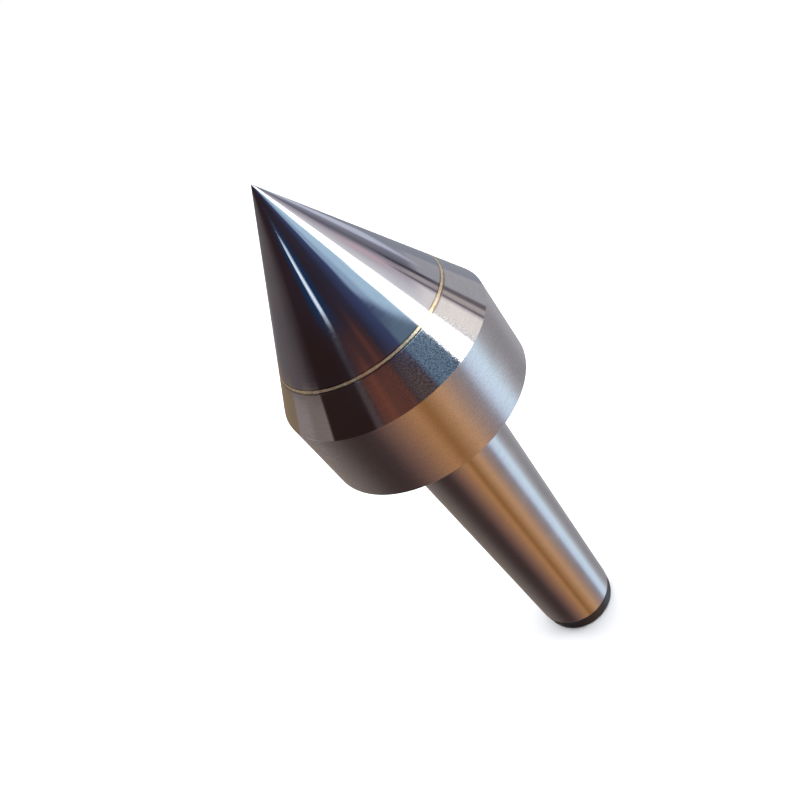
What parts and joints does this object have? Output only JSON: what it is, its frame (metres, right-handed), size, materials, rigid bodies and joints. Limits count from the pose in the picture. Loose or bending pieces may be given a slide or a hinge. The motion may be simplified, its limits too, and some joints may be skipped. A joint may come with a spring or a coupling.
{
  "type": "live center",
  "caption": "Revolving bull-nose lathe center with a brazed carbide 60 degree point on a Morse taper 4 shank.",
  "frame": {"origin": "centre of the flat end face of the taper shank, where the center stands upright", "axes": "+Z along the axis of rotation from the shank's end to the point; X and Y are free, as the part is round"},
  "size_m": [0.063, 0.063, 0.1868],
  "materials": {
    "carbide": "polished",
    "braze": "satin",
    "head_steel": "satin",
    "cover_steel": "satin",
    "shank_steel": "satin",
    "bearing_steel": "polished",
    "cage_brass": "satin",
    "spring_steel": "satin",
    "felt": "matte"
  },
  "bodies": {
    "shank": {"shank": "shank_steel", "stub_retaining_ring": "spring_steel", "rear_inner_ring": "bearing_steel", "thrust_shaft_washer": "bearing_steel", "front_inner_ring": "bearing_steel"},
    "head": {"head_body": "head_steel", "braze_layer": "braze", "carbide_tip": "carbide", "rear_cover": "cover_steel", "felt_seal": "felt", "preload_wave_spring": "spring_steel", "rear_outer_ring": "bearing_steel", "thrust_housing_washer": "bearing_steel", "front_outer_ring": "bearing_steel"},
    "rear_ball_set": {"rear_cage": "cage_brass", "rear_ball_01": "bearing_steel", "rear_ball_02": "bearing_steel", "rear_ball_03": "bearing_steel", "rear_ball_04": "bearing_steel", "rear_ball_05": "bearing_steel", "rear_ball_06": "bearing_steel", "rear_ball_07": "bearing_steel", "rear_ball_08": "bearing_steel", "rear_ball_09": "bearing_steel", "rear_ball_10": "bearing_steel", "rear_ball_11": "bearing_steel", "rear_ball_12": "bearing_steel"},
    "thrust_ball_set": {"thrust_cage": "cage_brass", "thrust_ball_01": "bearing_steel", "thrust_ball_02": "bearing_steel", "thrust_ball_03": "bearing_steel", "thrust_ball_04": "bearing_steel", "thrust_ball_05": "bearing_steel", "thrust_ball_06": "bearing_steel", "thrust_ball_07": "bearing_steel", "thrust_ball_08": "bearing_steel", "thrust_ball_09": "bearing_steel", "thrust_ball_10": "bearing_steel", "thrust_ball_11": "bearing_steel", "thrust_ball_12": "bearing_steel"},
    "front_ball_set": {"front_cage": "cage_brass", "front_ball_01": "bearing_steel", "front_ball_02": "bearing_steel", "front_ball_03": "bearing_steel", "front_ball_04": "bearing_steel", "front_ball_05": "bearing_steel", "front_ball_06": "bearing_steel", "front_ball_07": "bearing_steel", "front_ball_08": "bearing_steel", "front_ball_09": "bearing_steel", "front_ball_10": "bearing_steel", "front_ball_11": "bearing_steel"}
  },
  "joints": [
    {"name": "head_spin", "type": "hinge", "parent": "shank", "child": "head", "pos_m": [0, 0, 0.109], "axis": [0, 0, 1], "continuous": true},
    {"name": "rear_ball_set_orbit", "type": "hinge", "parent": "shank", "child": "rear_ball_set", "pos_m": [0, 0, 0.1182], "axis": [0, 0, 1], "continuous": true},
    {"name": "thrust_ball_set_orbit", "type": "hinge", "parent": "shank", "child": "thrust_ball_set", "pos_m": [0, 0, 0.1303], "axis": [0, 0, 1], "continuous": true},
    {"name": "front_ball_set_orbit", "type": "hinge", "parent": "shank", "child": "front_ball_set", "pos_m": [0, 0, 0.1376], "axis": [0, 0, 1], "continuous": true}
  ],
  "couplings": [
    {"joint": "rear_ball_set_orbit", "follows": "head_spin", "ratio": 0.5746},
    {"joint": "thrust_ball_set_orbit", "follows": "head_spin", "ratio": 0.5},
    {"joint": "front_ball_set_orbit", "follows": "head_spin", "ratio": 0.5727}
  ]
}
